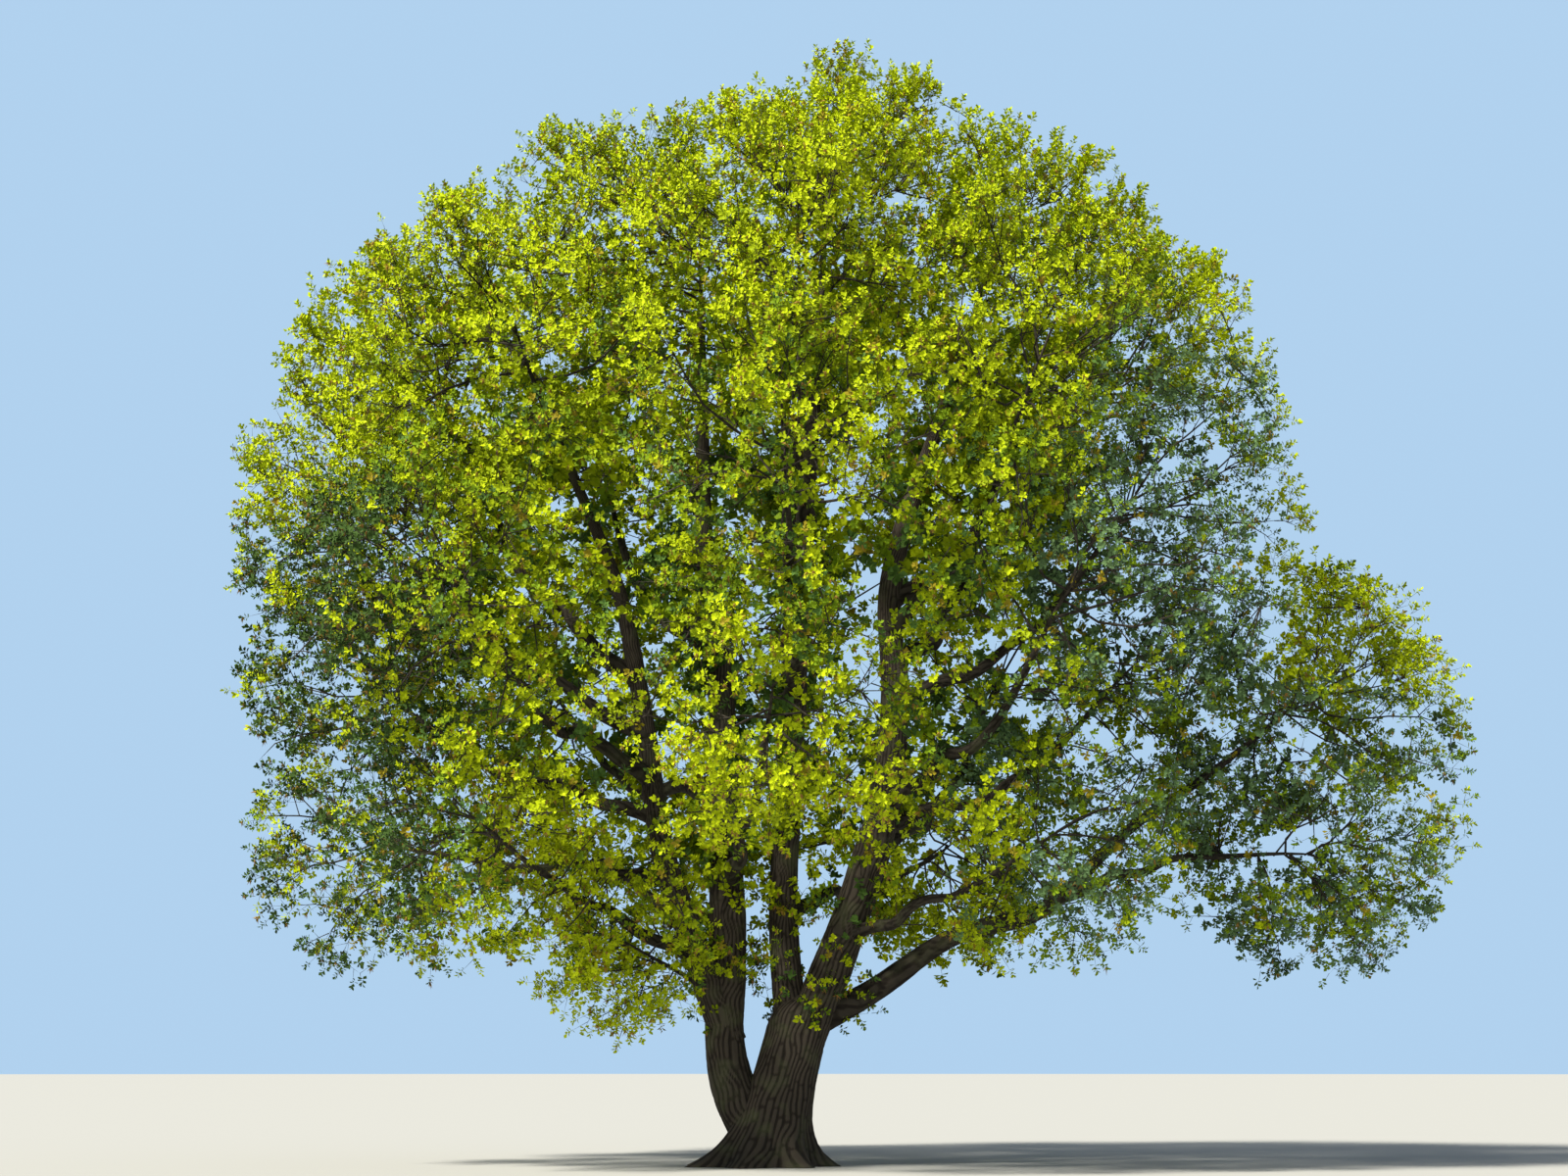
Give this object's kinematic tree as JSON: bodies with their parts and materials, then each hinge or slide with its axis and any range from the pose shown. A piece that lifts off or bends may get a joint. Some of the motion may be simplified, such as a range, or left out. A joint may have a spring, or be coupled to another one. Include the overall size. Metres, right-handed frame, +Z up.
{
  "type": "oak tree",
  "caption": "Broad, open-grown oak in fresh spring leaf, with several upright stems from one short bole and a full round crown.",
  "frame": {"origin": "centre of the bole's flat cut at ground level", "axes": "+Z up along the bole, +X to the right seen from the tree's front, +Y to the tree's back"},
  "size_m": [20.1121, 16.4105, 18.0975],
  "materials": {
    "bark": "matte",
    "foliage": "matte"
  },
  "bodies": {
    "root": {"back_left_bough": "bark", "back_low_left_bough": "bark", "back_low_right_bough": "bark", "back_middle_bough": "bark", "back_right_bough": "bark", "back_top_bough": "bark", "back_upper_left_bough": "bark", "back_upper_right_bough": "bark", "bole": "bark", "centre_stem": "bark", "front_left_bough": "bark", "front_low_left_bough": "bark", "front_low_middle_bough": "bark", "front_low_right_bough": "bark", "front_middle_bough": "bark", "front_right_bough": "bark", "front_top_bough": "bark", "front_upper_right_bough": "bark", "left_fork_stem": "bark", "left_low_side_bough": "bark", "left_shoulder_bough": "bark", "left_side_bough": "bark", "left_stem": "bark", "left_upper_side_bough": "bark", "right_low_spread_bough": "bark", "right_shoulder_bough": "bark", "right_side_bough": "bark", "right_spread_bough": "bark", "right_stem": "bark", "right_upper_side_bough": "bark", "back_left_foliage": "foliage", "back_low_left_foliage": "foliage", "back_low_right_foliage": "foliage", "back_middle_foliage": "foliage", "back_right_foliage": "foliage", "back_top_foliage": "foliage", "back_upper_left_foliage": "foliage", "back_upper_right_foliage": "foliage", "crown_top_foliage": "foliage", "front_left_foliage": "foliage", "front_low_left_foliage": "foliage", "front_low_middle_foliage": "foliage", "front_low_right_foliage": "foliage", "front_middle_foliage": "foliage", "front_right_foliage": "foliage", "front_top_foliage": "foliage", "front_upper_left_foliage": "foliage", "front_upper_right_foliage": "foliage", "left_low_side_foliage": "foliage", "left_shoulder_foliage": "foliage", "left_side_foliage": "foliage", "left_upper_side_foliage": "foliage", "right_low_spread_foliage": "foliage", "right_shoulder_foliage": "foliage", "right_side_foliage": "foliage", "right_spread_foliage": "foliage", "right_upper_side_foliage": "foliage", "stem_shoots_foliage": "foliage", "top_left_foliage": "foliage", "top_right_foliage": "foliage"}
  },
  "joints": []
}
